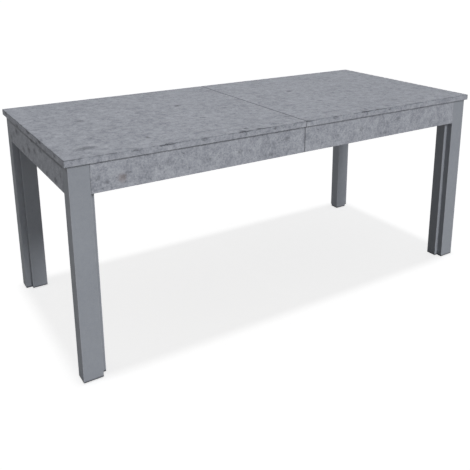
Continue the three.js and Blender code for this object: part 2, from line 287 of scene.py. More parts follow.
# Stains in the concrete print: centre, reach along each axis, and depth. Those that lie less than 565 mm from
# the seam come round again on the right half, where the print repeats.
STAINS = (
    # on the top face
    ((-0.286, 0.082, 0.770), (0.020, 0.017, 0.02), 0.71),
    ((-0.704, 0.044, 0.770), (0.020, 0.018, 0.02), 0.58),
    ((-0.296, -0.150, 0.770), (0.022, 0.012, 0.02), 0.51),
    ((-0.474, 0.051, 0.770), (0.016, 0.016, 0.02), 0.44),
    ((-0.140, -0.048, 0.770), (0.024, 0.010, 0.02), 0.48),
    ((-0.585, -0.300, 0.770), (0.010, 0.022, 0.02), 0.75),
    ((-0.800, -0.314, 0.770), (0.050, 0.026, 0.02), 0.44),
    ((-0.385, -0.335, 0.770), (0.060, 0.012, 0.02), 0.37),
    ((-0.246, -0.380, 0.770), (0.012, 0.020, 0.02), 0.68),
    ((-0.020, -0.314, 0.770), (0.030, 0.012, 0.02), 0.54),
    # on the front edge of the top
    ((-0.672, -0.410, 0.766), (0.022, 0.02, 0.0045), 0.60),
    ((-0.563, -0.410, 0.768), (0.046, 0.02, 0.0040), 0.78),
    ((-0.427, -0.410, 0.765), (0.020, 0.02, 0.008), 0.45),
    ((-0.273, -0.410, 0.769), (0.040, 0.02, 0.0034), 0.90),
    ((-0.203, -0.410, 0.769), (0.028, 0.02, 0.0034), 0.84),
    ((-0.143, -0.410, 0.764), (0.012, 0.02, 0.009), 0.66),
    # on the front apron
    ((-0.797, -0.401, 0.694), (0.016, 0.02, 0.012), 0.34),
    ((-0.770, -0.401, 0.678), (0.014, 0.02, 0.012), 0.32),
    ((-0.712, -0.401, 0.685), (0.014, 0.02, 0.013), 0.40),
    ((-0.283, -0.401, 0.698), (0.015, 0.02, 0.016), 0.42),
    ((-0.082, -0.401, 0.715), (0.022, 0.02, 0.012), 0.36),
    ((-0.153, -0.401, 0.666), (0.015, 0.02, 0.011), 0.38),
    ((-0.407, -0.401, 0.691), (0.018, 0.02, 0.013), 0.26),
    # on the left end of the top
    ((-0.900, -0.315, 0.763), (0.02, 0.024, 0.008), 0.50),
    ((-0.900, -0.140, 0.765), (0.02, 0.036, 0.007), 0.75),
    ((-0.900, -0.105, 0.753), (0.02, 0.020, 0.008), 0.60),
    ((-0.900, 0.005, 0.764), (0.02, 0.044, 0.007), 0.75),
    ((-0.900, 0.170, 0.752), (0.02, 0.034, 0.007), 0.60),
    ((-0.900, 0.350, 0.764), (0.02, 0.024, 0.008), 0.65),
    # on the left end apron
    ((-0.889, -0.263, 0.665), (0.02, 0.032, 0.013), 0.50),
    ((-0.889, -0.163, 0.660), (0.02, 0.022, 0.011), 0.50),
    ((-0.889, -0.330, 0.700), (0.02, 0.030, 0.020), 0.30),
    ((-0.889, -0.100, 0.722), (0.02, 0.040, 0.010), 0.40),
    ((-0.889, -0.020, 0.700), (0.02, 0.036, 0.014), 0.42),
    ((-0.889, 0.017, 0.731), (0.02, 0.032, 0.009), 0.60),
    ((-0.889, 0.065, 0.685), (0.02, 0.026, 0.020), 0.58),
    ((-0.889, 0.150, 0.665), (0.02, 0.034, 0.014), 0.42),
    ((-0.889, 0.240, 0.713), (0.02, 0.032, 0.016), 0.60),
    ((-0.889, 0.290, 0.690), (0.02, 0.026, 0.016), 0.36),
    ((-0.889, 0.343, 0.668), (0.02, 0.030, 0.012), 0.54),
)
RUST_PLACE = (-0.718, -0.401, 0.682)
RUST_REACH = 0.023


def concrete(name, shift):
    """Concrete-look laminate: an even blue-grey with fine mottling, ragged flecks, pits and a few stains."""
    f = Finish(name, **{"Specular IOR Level": 0.30})
    roll = f.vector("ADD", f.place, (shift, 0, 0))
    warped = f.warped(roll, 30.0, 0.010)

    # a slow cloud, a plastery mottle, a speckle of about 7 mm and a fine grain
    tone = f.weigh(((f.noise(5.0, 2.0, 0.5, warped), 0.04), (f.noise(36.0, 8.0, 0.68, warped, 0.5), 0.42),
                    (f.noise(150.0, 6.0, 0.66, roll, 0.3), 0.36), (f.noise(800.0, 3.0, 0.6, roll), 0.18)))
    colour = f.ramp(tone, (
        (0.36, srgb(106, 109, 117)),
        (0.44, srgb(134, 137, 145)),
        (0.50, srgb(150, 153, 161)),
        (0.57, srgb(165, 168, 175)),
        (0.66, srgb(186, 189, 195)),
    ))

    # fine trowel lines, pale and broken
    drift = f.vector("MULTIPLY", f.warped(roll, 7.0, 0.05), (1.0, 2.2, 2.2))
    ridge = f.math("ABSOLUTE", f.math("SUBTRACT", f.noise(15.0, 4.0, 0.55, drift, 0.8), 0.5))
    breaks = f.span(f.noise(24.0, 3.0, 0.6, roll), 0.50, 0.62)
    trowel = f.math("MULTIPLY", f.span(ridge, 0.0, 0.012, 1.0, 0.0), breaks)
    colour = f.mix(f.math("MULTIPLY", trowel, 0.34), colour, srgb(190, 193, 198))

    # ragged dark flecks, and paler scuffs
    flecks = f.span(f.noise(58.0, 7.0, 0.76, warped, 0.4), 0.585, 0.665, 0.0, 0.66)
    colour = f.mix(flecks, colour, srgb(98, 101, 108))
    scuff_place = f.vector("ADD", warped, (3.1, 1.7, 0.4))
    scuffs = f.span(f.noise(66.0, 6.0, 0.72, scuff_place, 0.4), 0.60, 0.70, 0.0, 0.30)
    colour = f.mix(scuffs, colour, srgb(186, 189, 194))

    # round pits where air bubbles were, each with its own size
    cells = f.add("ShaderNodeTexVoronoi", {"Vector": roll, "Scale": 58.0, "Randomness": 1.0})
    pick = f.add("ShaderNodeSeparateColor", {0: cells.outputs["Color"]})
    chosen = f.span(pick.outputs[0], 0.60, 0.64)
    size = f.span(pick.outputs[1], 0.0, 1.0, 0.04, 0.13)
    pit = f.span(f.math("DIVIDE", cells.outputs["Distance"], size), 0.55, 1.0, 1.0, 0.0)
    pits = f.math("MULTIPLY", pit, chosen)
    colour = f.mix(f.math("MULTIPLY", pits, 0.60), colour, srgb(78, 81, 87))

    # stains with ragged outlines
    ragged = f.warped(roll, 80.0, 0.007)
    stain = 0.0
    for centre, reach, depth in STAINS:
        scale = Vector((1 / reach[0], 1 / reach[1], 1 / reach[2]))
        offset = -Vector(centre) * scale
        local = f.add("ShaderNodeVectorMath", {0: ragged, 1: scale, 2: offset}, operation="MULTIPLY_ADD")
        away = f.vector("LENGTH", local.outputs[0])
        stain = f.math("MAXIMUM", f.span(away, 0.25, 1.0, depth, 0.0), stain)
    broken = f.math("MULTIPLY", stain, f.span(f.noise(190.0, 3.0, 0.6, roll), 0.34, 0.56, 0.45, 1.15))
    colour = f.mix(broken, colour, srgb(58, 61, 67))
    rust = f.span(f.vector("DISTANCE", ragged, RUST_PLACE), 0.2 * RUST_REACH, RUST_REACH, 0.38, 0.0)
    colour = f.mix(rust, colour, srgb(124, 108, 102))

    # the arrises: paler in places, for wear and as a painted highlight on the rounded edges, and grey with
    # handling in others
    edge_breakup = f.noise(26.0, 5.0, 0.7, f.vector("ADD", roll, (0.7, 0.2, 1.9)))
    paler_edge = f.math("MULTIPLY", f.edge(), f.span(edge_breakup, 0.56, 0.68, 0.0, 0.40))
    handled = f.math("MULTIPLY", f.edge(), f.span(edge_breakup, 0.56, 0.42, 0.18, 0.80))
    colour = f.mix(paler_edge, colour, srgb(184, 186, 190))
    colour = f.mix(handled, colour, srgb(92, 95, 101))

    # a thin broken line of grime where the top face turns into its edges
    axes = f.add("ShaderNodeSeparateXYZ", {0: f.place}).outputs
    from_seam = f.math("ABSOLUTE", axes[0])
    from_end = f.math("SUBTRACT", TOP_HALF_LENGTH, from_seam)
    from_side = f.math("SUBTRACT", TOP_HALF_DEPTH, f.math("ABSOLUTE", axes[1]))
    above = f.math("SUBTRACT", axes[2], TOP_HEIGHT)
    from_rim = f.math("SUBTRACT", f.math("MINIMUM", from_end, from_side), above)
    line = f.span(from_rim, *RIM_GRIME, 1.0, 0.0)
    grime = f.math("MULTIPLY", line, f.span(edge_breakup, 0.58, 0.42, 0.10, 0.50))
    colour = f.mix(grime, colour, srgb(84, 87, 93))

    # painted shade in the corner under the overhang of the top's ends: a darker band high on the end aprons,
    # standing in for the overhang's shadow
    under = f.math("MULTIPLY", f.span(axes[2], *OVERHANG_SHADE_FOOT), f.span(axes[2], *OVERHANG_SHADE_HEAD, 1.0, 0.0))
    shade_at_end = f.span(from_seam, *OVERHANG_SHADE_FROM_SEAM, 0.0, 0.42)
    colour = f.mix(f.math("MULTIPLY", under, shade_at_end), colour, srgb(70, 73, 79))

    # dirt on the arrises at the seam, and painted shade on the lower arris of the top, where the overhang's
    # shadow line falls
    seam = f.span(from_seam, *SEAM_DIRT, 0.88, 0.0)
    foot = f.span(axes[2], *ARRIS_SHADE_FOOT, 0.0, 0.70)
    lower_arris_shade = f.math("MULTIPLY", foot, f.span(axes[2], *ARRIS_SHADE_HEAD, 1.0, 0.0))
    seam_dirt_and_arris_shade = f.math("MULTIPLY", f.edge(), f.math("MAXIMUM", seam, lower_arris_shade))
    colour = f.mix(seam_dirt_and_arris_shade, colour, srgb(52, 54, 58))

    # roughness with its own mottle, and relief from the tone, the flecks and the pits
    mottle = f.noise(90.0, 4.0, 0.6, warped)
    roughness = f.span(f.math("MULTIPLY_ADD", pits, 0.3, mottle), 0.32, 0.80, 0.46, 0.66)
    low = f.math("MULTIPLY_ADD", flecks, -0.8, f.math("MULTIPLY_ADD", pits, -1.2, tone))
    normal = f.bump(f.noise(900.0, 3.0, 0.6, roll), 0.00005, 0.6, f.bump(low, 0.00022, 0.6))
    return f.done(colour, roughness, normal)


def leg_foil():
    """Plain matt grey foil with a very fine orange peel, faint haze, arrises painted paler for wear and as a
    highlight, and painted contact shade at the feet.
    """
    f = Finish("leg foil", **{"Specular IOR Level": 0.32})
    tone = f.weigh(((f.noise(5.0, 3.0), 0.3), (f.noise(60.0, 4.0, 0.6), 0.3), (f.noise(420.0, 3.0), 0.4)))
    colour = f.ramp(tone, (
        (0.34, srgb(133, 137, 145)),
        (0.50, srgb(140, 144, 151)),
        (0.66, srgb(145, 149, 156)),
    ))
    # arrises paler in places: edge wear and a painted highlight on the rounded arrises
    paler_edge = f.math("MULTIPLY", f.edge(), f.span(f.noise(30.0, 4.0, 0.6), 0.34, 0.66, 0.15, 0.70))
    colour = f.mix(paler_edge, colour, srgb(170, 173, 180))
    marks = f.span(f.noise(46.0, 5.0, 0.72), 0.62, 0.74, 0.0, 0.16)
    colour = f.mix(marks, colour, srgb(112, 115, 121))

    # painted contact shade: a broken dark band at the feet, where the legs meet the floor
    height = f.add("ShaderNodeSeparateXYZ", {0: f.place}).outputs[2]
    broken = f.span(f.noise(34.0, 4.0), 0.3, 0.7, 0.50, 0.85)
    foot = f.math("MULTIPLY", f.span(height, *FOOT_SHADE, 1.0, 0.0), broken)
    colour = f.mix(foot, colour, srgb(54, 56, 60))
    roughness = f.span(f.noise(18.0, 4.0, 0.6), 0.3, 0.7, 0.42, 0.56)
    return f.done(colour, roughness, f.bump(f.noise(900.0, 2.0), 0.00004, 0.5))


def backing():
    """The plain balancing sheet on the underside of the tops."""
    f = Finish("backing sheet", **{"Specular IOR Level": 0.3})
    specks = f.noise(240.0, 4.0, 0.7)
    colour = f.ramp(specks, (
        (0.35, srgb(120, 122, 126)),
        (0.50, srgb(132, 134, 138)),
        (0.66, srgb(142, 144, 147)),
    ))
    blots = f.span(f.noise(9.0, 3.0), 0.45, 0.70, 0.0, 0.25)
    colour = f.mix(blots, colour, srgb(124, 125, 126))
    return f.done(colour, f.span(specks, 0.3, 0.7, 0.55, 0.70), f.bump(specks, 0.00008, 0.4))


def beech(name, along):
    """Planed beech, with its grain along a direction: rays, flecks and slow colour bands."""
    f = Finish(name, **{"Specular IOR Level": 0.3})
    direction = Vector(along).normalized()
    side = Vector((0, 0, 1)).cross(direction) if abs(direction.z) < 0.9 else Vector((1, 0, 0))
    up = direction.cross(side)
    axes = []
    for axis, scale in ((direction, 1.0), (side, 12.0), (up, 12.0)):
        dot = f.add("ShaderNodeVectorMath", {0: f.place, 1: tuple(axis * scale)}, operation="DOT_PRODUCT")
        axes.append(dot.outputs["Value"])
    grain_place = f.add("ShaderNodeCombineXYZ", {0: axes[0], 1: axes[1], 2: axes[2]}).outputs[0]
    bands = f.noise(3.2, 3.0, 0.5, grain_place, 0.6)
    fibres = f.noise(38.0, 4.0, 0.65, grain_place)
    fleck_place = f.vector("MULTIPLY", grain_place, (9.0, 3.0, 3.0))
    flecks = f.span(f.noise(16.0, 2.0, 0.5, fleck_place), 0.62, 0.72, 0.0, 0.45)
    tone = f.math("ADD", f.math("MULTIPLY", bands, 0.6), f.math("MULTIPLY", fibres, 0.4))
    colour = f.ramp(tone, (
        (0.30, srgb(160, 117, 76)),
        (0.45, srgb(187, 145, 100)),
        (0.60, srgb(204, 166, 121)),
        (0.75, srgb(214, 180, 138)),
    ))
    colour = f.mix(flecks, colour, srgb(150, 104, 66))
    paler_edge = f.math("MULTIPLY", f.edge(), f.span(f.noise(60.0, 3.0), 0.35, 0.7, 0.05, 0.45))
    colour = f.mix(paler_edge, colour, srgb(222, 194, 156))
    return f.done(colour, f.span(fibres, 0.3, 0.7, 0.48, 0.68), f.bump(fibres, 0.00025, 0.45))


def steel(name, dark, light, roughness, along=(1.0, 40.0, 40.0)):
    """Zinc-plated steel with drawing lines, dull blooms and worn edges."""
    f = Finish(name, Metallic=1.0)
    lines = f.noise(9.0, 4.0, 0.6, f.vector("MULTIPLY", f.place, along))
    bloom = f.noise(36.0, 5.0, 0.65)
    tone = f.math("ADD", f.math("MULTIPLY", lines, 0.45), f.math("MULTIPLY", bloom, 0.55))
    colour = f.ramp(tone, ((0.32, dark), (0.68, light)))
    paler_edge = f.math("MULTIPLY", f.edge(), f.span(f.noise(80.0, 2.0), 0.3, 0.7, 0.2, 0.7))
    colour = f.mix(paler_edge, colour, srgb(232, 233, 234))
    rough = f.span(bloom, 0.3, 0.75, roughness - 0.08, roughness + 0.14)
    return f.done(colour, rough, f.bump(lines, 0.00006, 0.4))


def moulded_plastic(name, dark, light):
    """Moulded plastic with a fine spark texture and rubbed edges."""
    f = Finish(name, **{"Specular IOR Level": 0.4})
    spark = f.noise(1400.0, 2.0)
    haze = f.noise(40.0, 4.0)
    colour = f.ramp(f.math("ADD", f.math("MULTIPLY", haze, 0.7), f.math("MULTIPLY", spark, 0.3)), (
        (0.35, dark),
        (0.65, light),
    ))
    paler_edge = f.math("MULTIPLY", f.edge(), f.span(f.noise(90.0, 3.0), 0.4, 0.7, 0.0, 0.35))
    colour = f.mix(paler_edge, colour, srgb(96, 97, 100))
    return f.done(colour, f.span(haze, 0.3, 0.7, 0.48, 0.66), f.bump(spark, 0.00005, 0.6))


CONCRETE = {side: concrete(f"concrete {side}", PRINT_SHIFT[side]) for side in SIDES}
CONCRETE_LEAF = concrete("concrete leaf", LEAF_PRINT_SHIFT)
LEG_FOIL = leg_foil()
BACKING = backing()
BEECH_LONG = beech("beech along the length", (1, 0, 0))
BEECH_DEEP = beech("beech along the depth", (0, 1, 0))
BEECH_CORNER = {
    1: beech("beech across a corner", (1, 1, 0)),
    -1: beech("beech across the other corner", (1, -1, 0)),
}
RUNNER_STEEL = steel("runner steel", srgb(150, 152, 155), srgb(196, 198, 201), 0.38)
SLIDER_STEEL = steel("slider steel", srgb(164, 166, 169), srgb(210, 212, 214), 0.30)
ZINC = steel("bright zinc", srgb(160, 161, 158), srgb(214, 215, 212), 0.30, (30.0, 30.0, 6.0))
BLACK_PLASTIC = moulded_plastic("black plastic", srgb(24, 25, 27), srgb(44, 45, 48))


# ---------------------------------------------------------------- mesh helpers


def new_piece(name, bm, material, body, extra_materials=()):
    """A finished piece from a bmesh, riding on its body."""
    bmesh.ops.recalc_face_normals(bm, faces=bm.faces)
    mesh = bpy.data.meshes.new(name)
    bm.to_mesh(mesh)
    bm.free()
    piece = bpy.data.objects.new(name, mesh)
    bpy.context.scene.collection.objects.link(piece)
    for one in (material, *extra_materials):
        mesh.materials.append(one)
    for polygon in mesh.polygons:
        polygon.use_smooth = True
    normals = piece.modifiers.new("weighted normals", "WEIGHTED_NORMAL")
    normals.keep_sharp = True
    normals.weight = 100
    mesh.set_sharp_from_angle(angle=SHARP_ANGLE)
    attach(piece, body)
    return piece


def round_edges(bm, width, segments=3, sharper=30.0):
    """Rounds every edge that turns by more than sharper degrees, and marks the new faces as edge."""
    layer = bm.faces.layers.float.get("edge") or bm.faces.layers.float.new("edge")
    sharp = [e for e in bm.edges if len(e.link_faces) == 2 and e.calc_face_angle(0) > math.radians(sharper)]
    made = bmesh.ops.bevel(
        bm, geom=sharp, offset=width, offset_type="OFFSET", segments=segments, profile=0.5,
        affect="EDGES", clamp_overlap=True, harden_normals=False,
    )
    for face in made["faces"]:
        if face.is_valid:
            face[layer] = 1.0


def cad_copy(node):
    """The CAD node's solid as a bmesh with its flat faces whole."""
    bm = bmesh.new()
    bm.from_mesh(frame["nodes"][node].data)
    bmesh.ops.remove_doubles(bm, verts=bm.verts, dist=WELD_DISTANCE)
    bmesh.ops.dissolve_limit(bm, angle_limit=FLAT_ANGLE, verts=bm.verts, edges=bm.edges)
    return bm


def body_of(node):
    """The body that a CAD node belongs to."""
    for body, nodes in frame["record"]["behaviour"]["bodies"].items():
        if node in nodes:
            return body
    raise KeyError(node)


def slot_of(node):
    """The material slot that a CAD node has in the record."""
    return next(s["material_slot"] for s in frame["record"]["subparts"] if s["node"] == node)


def machined(node, suffix, material, width, segments=3, sharper=30.0):
    """A CAD node finished with rounded edges, standing for the node."""
    bm = cad_copy(node)
    round_edges(bm, width, segments, sharper)
    piece = new_piece(f"{node}_{suffix}", bm, material, body_of(node))
    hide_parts(node)


def nodes_like(start):
    """The names of the CAD nodes that begin with start."""
    return sorted(name for name in frame["nodes"] if name.startswith(start))


def side_of(node):
    """-1 for a node on the left half, 1 for one on the right."""
    return -1 if node.endswith("_left") else 1


def face_of(node):
    """-1 for a node at the front, 1 for one at the back."""
    return -1 if "_front" in node else 1


def block(lo, hi):
    """A block between two corners, as a bmesh."""
    bm = bmesh.new()
    bmesh.ops.create_cube(bm, size=1.0)
    bmesh.ops.scale(bm, vec=hi - lo, verts=bm.verts)
    bmesh.ops.translate(bm, vec=(lo + hi) / 2, verts=bm.verts)
    return bm


def add_loop_band(bm, loops, closed_profile=True):
    """A skin through point loops of equal length. With closed_profile it also joins the last to the first."""
    rings = [[bm.verts.new(point) for point in loop] for loop in loops]
    count = len(rings[0])
    pairs = list(zip(rings, rings[1:]))
    if closed_profile:
        pairs.append((rings[-1], rings[0]))
    faces = []
    for a, b in pairs:
        for i in range(count):
            j = (i + 1) % count
            faces.append(bm.faces.new((a[i], a[j], b[j], b[i])))
    return rings, faces


def rounded_rectangle(lo, hi, inset, z, steps=4):
    """Points at height z round a box in plan, moved in by inset, with rounded corners."""
    r = max(CORNER_RADIUS - inset, LEAST_RADIUS)
    points = []
    corners = ((hi.x, hi.y, 0), (lo.x, hi.y, 90), (lo.x, lo.y, 180), (hi.x, lo.y, 270))
    for x, y, start in corners:
        centre_x = x - math.copysign(inset + r, x - (lo.x + hi.x) / 2)
        centre_y = y - math.copysign(inset + r, y - (lo.y + hi.y) / 2)
        for step in range(steps + 1):
            angle = math.radians(start + 90 * step / steps)
            points.append((centre_x + r * math.cos(angle), centre_y + r * math.sin(angle), z))
    return points


def lathe(bm, profile, centre, axis, sides=24):
    """A closed round body from (radius, distance along axis) points. A radius of 0 closes on the axis."""
    axis = Vector(axis).normalized()
    across = axis.orthogonal().normalized()
    other = axis.cross(across)
    centre = Vector(centre)
    rings = []
    for radius, along in profile:
        middle = centre + axis * along
        if radius <= 0:
            rings.append([bm.verts.new(middle)])
            continue
        ring = []
        for i in range(sides):
            angle = 2 * math.pi * i / sides
            ring.append(bm.verts.new(middle + (across * math.cos(angle) + other * math.sin(angle)) * radius))
        rings.append(ring)
    for a, b in zip(rings, rings[1:]):
        for i in range(sides):
            j = (i + 1) % sides
            corners = [a[i % len(a)], a[j % len(a)], b[j % len(b)], b[i % len(b)]]
            unique = list(dict.fromkeys(corners))
            if len(unique) > 2:
                bm.faces.new(unique)


def plain_mesh(bm):
    """The mesh of a bmesh, which is used up."""
    bmesh.ops.recalc_face_normals(bm, faces=bm.faces)
    mesh = bpy.data.meshes.new("work")
    bm.to_mesh(mesh)
    bm.free()
    return mesh


def taken_out(mesh, cutter):
    """The mesh that is left when the cutter's mesh is taken out of it."""
    solids = [bpy.data.objects.new("work", one) for one in (mesh, cutter)]
    for solid in solids:
        bpy.context.scene.collection.objects.link(solid)
    tool = solids[0].modifiers.new("cut", "BOOLEAN")
    tool.operation = "DIFFERENCE"
    tool.solver = "EXACT"
    tool.object = solids[1]
    graph = bpy.context.evaluated_depsgraph_get()
    remaining = bpy.data.meshes.new_from_object(solids[0].evaluated_get(graph))
    for solid in solids:
        bpy.data.objects.remove(solid)
    return remaining


# ---------------------------------------------------------------- boards with edge bands


def banded_board(node, material):
    """A laminated board in place of a node: a core with a backing sheet below, and an edge band round it."""
    lo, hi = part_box(node)
    body, slot = body_of(node), slot_of(node)

    # the section of the band, out over the top arris and down under the lower one
    arc = [math.radians(a) for a in (0, 22.5, 45, 67.5, 90)]
    profile = [(BAND, hi.z), (BAND_RADIUS, hi.z)]
    profile += [(BAND_RADIUS * (1 - math.sin(a)), hi.z - BAND_RADIUS * (1 - math.cos(a))) for a in arc[1:]]
    profile += [(BAND_RADIUS * (1 - math.cos(a)), lo.z + BAND_RADIUS * (1 - math.sin(a))) for a in arc]
    profile += [(BAND, lo.z)]
    band = bmesh.new()
    layer = band.faces.layers.float.new("edge")
    loops = [rounded_rectangle(lo, hi, inset, z) for inset, z in profile]
    _, faces = add_loop_band(band, loops)
    for face in faces:
        middle = face.calc_center_median()
        near_top = hi.z - BAND_RADIUS < middle.z < hi.z - HAIR
        near_bottom = lo.z + HAIR < middle.z < lo.z + BAND_RADIUS
        face[layer] = 1.0 if near_top or near_bottom else 0.0
    new_piece(f"{node}_edge_band", band, material, body)

    inset = Vector((BAND + CORE_GAP, BAND + CORE_GAP, 0))
    core = block(lo + inset, hi - inset)
    core.faces.layers.float.new("edge")
    bmesh.ops.bevel(
        core, geom=list(core.edges), offset=CORE_BEVEL, offset_type="OFFSET", segments=1, profile=0.5,
        affect="EDGES",
    )
    for face in core.faces:
        face.material_index = 1 if face.normal.z < -0.5 else 0
    board = new_piece(f"{node}_board", core, material, body, (BACKING,))
    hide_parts(node)


for side in SIDES:
    banded_board(f"top_{side}", CONCRETE[side])
banded_board("extension_leaf", CONCRETE_LEAF)


# ---------------------------------------------------------------- aprons, legs, glides, wooden blocks

for node in nodes_like("apron_"):
    machined(node, "board", CONCRETE["left" if node.endswith("left") else "right"], BOARD_BEVEL)
for node in nodes_like("leg_front") + nodes_like("leg_back"):
    machined(node, "post", LEG_FOIL, LEG_BEVEL)
for node in nodes_like("glide_"):
    machined(node, "pad", BLACK_PLASTIC, GLIDE_BEVEL)
for node in nodes_like("brace_"):
    machined(node, "block", BEECH_CORNER[-side_of(node) * face_of(node)], WOOD_BEVEL)
for node in nodes_like("seam_block_") + nodes_like("leaf_ledger_"):
    machined(node, "wood", BEECH_LONG, WOOD_BEVEL)
machined("leaf_stop", "wood", BEECH_DEEP, WOOD_BEVEL)

# ---------------------------------------------------------------- runners and hooks

for node in nodes_like("runner_channel_"):
    machined(node, "rail", RUNNER_STEEL, STEEL_BEVEL, 2)
for node in nodes_like("runner_slider_"):
    machined(node, "bar", SLIDER_STEEL, STEEL_BEVEL, 2)
for start in ("hook_bracket_", "hook_keeper_", "hook_pivot_", "swing_hook_"):
    for node in nodes_like(start):
        machined(node, "metal", ZINC, FITTING_BEVEL, 2, sharper=40.0)


# ---------------------------------------------------------------- bolts and dowels


def axis_span(node, direction):
    """The middle of a CAD node, a unit direction, and how far the node reaches each way along it."""
    direction = Vector(direction).normalized()
    lo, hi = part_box(node)
    middle = (lo + hi) / 2
    spread = [direction.dot(v.co - middle) for v in frame["nodes"][node].data.vertices]
    return middle, direction, min(spread), max(spread)


def hex_bolt(node):
    """A hexagon bolt with a chamfered head, a washer and a plain shank with a few threads."""
    middle, into, near, far = axis_span(node, (side_of(node), face_of(node), 0))
    under_head = near + BOLT_HEAD_HEIGHT
    under_washer = under_head + WASHER_THICKNESS
    bm = bmesh.new()
    bm.faces.layers.float.new("edge")
    head = (
        (0, near + BOLT_HEAD_DISH),
        (BOLT_FACE_RADIUS, near),
        (BOLT_HEAD_RADIUS, near + BOLT_CHAMFER),
        (BOLT_HEAD_RADIUS, under_head),
        (0, under_head),
    )
    lathe(bm, head, middle, into, 6)
    washer = (
        (0, under_head),
        (WASHER_RADIUS - WASHER_CHAMFER, under_head),
        (WASHER_RADIUS, under_head + WASHER_CHAMFER),
        (WASHER_RADIUS, under_washer),
        (0, under_washer),
    )
    lathe(bm, washer, middle, into, 32)
    shank = [(0, under_washer), (SHANK_RADIUS, under_washer)]
    along = under_washer + SHANK_PLAIN
    while along < far - THREAD_END:
        shank += [(SHANK_RADIUS, along), (THREAD_ROOT_RADIUS, along + THREAD_FLANK)]
        along += THREAD_PITCH
    shank += [(THREAD_ROOT_RADIUS, far - SHANK_TIP), (SHANK_TIP_RADIUS, far), (0, far)]
    lathe(bm, shank, middle, into, 20)
    piece = new_piece(f"{node}_hex", bm, ZINC, body_of(node))
    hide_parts(node)


def fluted_dowel(node, axis):
    """A dowel pin with pressed flutes and chamfered ends."""
    middle, along, near, far = axis_span(node, axis)
    across = along.orthogonal().normalized()
    other = along.cross(across)
    bm = bmesh.new()
    bm.faces.layers.float.new("edge")
    stations = (
        (near, 0.70), (near + 1.2 * MM, 0.97), (near + 2.0 * MM, 1.0), (far - 2.4 * MM, 1.0), (far, 0.66),
    )
    loops = []
    for place, size in stations:
        loop = []
        for i in range(DOWEL_POINTS):
            flute = FLUTE_DEPTH if i % FLUTE_EVERY == 0 else 0.0
            radius = DOWEL_RADIUS * size * (1.0 - flute)
            angle = 2 * math.pi * i / DOWEL_POINTS
            outward = across * math.cos(angle) + other * math.sin(angle)
            loop.append(middle + along * place + outward * radius)
        loops.append(loop)
    rings, _ = add_loop_band(bm, loops, closed_profile=False)
    bm.faces.new(rings[0])
    bm.faces.new(list(reversed(rings[-1])))
    material = BEECH_LONG if axis[0] else BEECH_DEEP
    piece = new_piece(f"{node}_dowel", bm, material, body_of(node))
    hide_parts(node)


for node in nodes_like("leg_bolt_"):
    hex_bolt(node)
for node in nodes_like("seam_pin_"):
    fluted_dowel(node, (1, 0, 0))
for node in nodes_like("leaf_pin_"):
    fluted_dowel(node, (0, 1, 0))


# ---------------------------------------------------------------- screws


def screw_head():
    """A pan head with a cross recess, standing on Z = 0."""
    head = bmesh.new()
    r, h = SCREW_RADIUS, SCREW_HEIGHT
    dome = ((0.97 * r, 0.42 * h), (0.82 * r, 0.74 * h), (0.55 * r, 0.93 * h), (0, h))
    lathe(head, ((0, 0), (0.94 * r, 0), (r, 0.18 * h), *dome), (0, 0, 0), (0, 0, 1))
    cross = bmesh.new()
    arm, half = RECESS_LENGTH / 2, RECESS_WIDTH / 2
    outline = [(arm, -half), (arm, half), (half, half), (half, arm), (-half, arm), (-half, half),
               (-arm, half), (-arm, -half), (-half, -half), (-half, -arm), (half, -arm), (half, -half)]
    low = [cross.verts.new((x * RECESS_TAPER, y * RECESS_TAPER, h - RECESS_DEPTH)) for x, y in outline]
    high = [cross.verts.new((x, y, h + 1 * MM)) for x, y in outline]
    cross.faces.new(low)
    cross.faces.new(high)
    for i in range(len(outline)):
        j = (i + 1) % len(outline)
        cross.faces.new((low[i], low[j], high[j], high[i]))
    return taken_out(plain_mesh(head), plain_mesh(cross))


SCREW_HEAD = screw_head()


def screws(node, places, out):
    """Pan-head screws standing on a node's surface, as one piece on its body. out points away from it."""
    bm = bmesh.new()
    turn = Vector(out).to_track_quat("Z", "Y").to_matrix().to_4x4()
    for count, place in enumerate(places):
        known = set(bm.verts)
        bm.from_mesh(SCREW_HEAD)
        spin = Matrix.Rotation(math.radians(37 * count + 11), 4, "Z")
        move = Matrix.Translation(place) @ turn @ spin
        bmesh.ops.transform(bm, matrix=move, verts=[v for v in bm.verts if v not in known])
    new_piece(f"{node}_screws", bm, ZINC, body_of(node))


for node in nodes_like("runner_channel_"):
    lo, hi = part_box(node)
    places = [(side_of(node) * x, (lo.y + hi.y) / 2, hi.z - RUNNER_WEB) for x in RUNNER_SCREWS]
    screws(node, places, (0, 0, -1))

for node in nodes_like("leaf_ledger_"):
    lo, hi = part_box(node)
    y = hi.y - LEDGER_WALL / 2 if face_of(node) > 0 else lo.y + LEDGER_WALL / 2
    first, last = lo.x + LEDGER_SCREW_INSET, hi.x - LEDGER_SCREW_INSET
    step = (last - first) / (LEDGER_SCREWS - 1)
    screws(node, [(first + step * i, y, lo.z) for i in range(LEDGER_SCREWS)], (0, 0, -1))

lo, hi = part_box("leaf_stop")
screws("leaf_stop", [((lo.x + hi.x) / 2, y, lo.z) for y in STOP_SCREWS], (0, 0, -1))

for node in nodes_like("seam_block_"):
    lo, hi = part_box(node)
    inner = lo.y if face_of(node) > 0 else hi.y
    middle = (lo.x + hi.x) / 2
    low = (middle - SEAM_SCREW_ASIDE, inner, lo.z + SEAM_SCREW_INSET)
    high = (middle + SEAM_SCREW_ASIDE, inner, hi.z - SEAM_SCREW_INSET)
    screws(node, [low, high], (0, -face_of(node), 0))

for node in nodes_like("hook_bracket_") + nodes_like("hook_keeper_"):
    lo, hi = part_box(node)
    edge_y = lo.y if face_of(node) > 0 else hi.y
    y = edge_y + face_of(node) * PLATE_SCREW_FROM_EDGE
    z = hi.z - PLATE_THICKNESS
    screws(node, [(x, y, z) for x in (lo.x + PLATE_SCREW_INSET, hi.x - PLATE_SCREW_INSET)], (0, 0, -1))

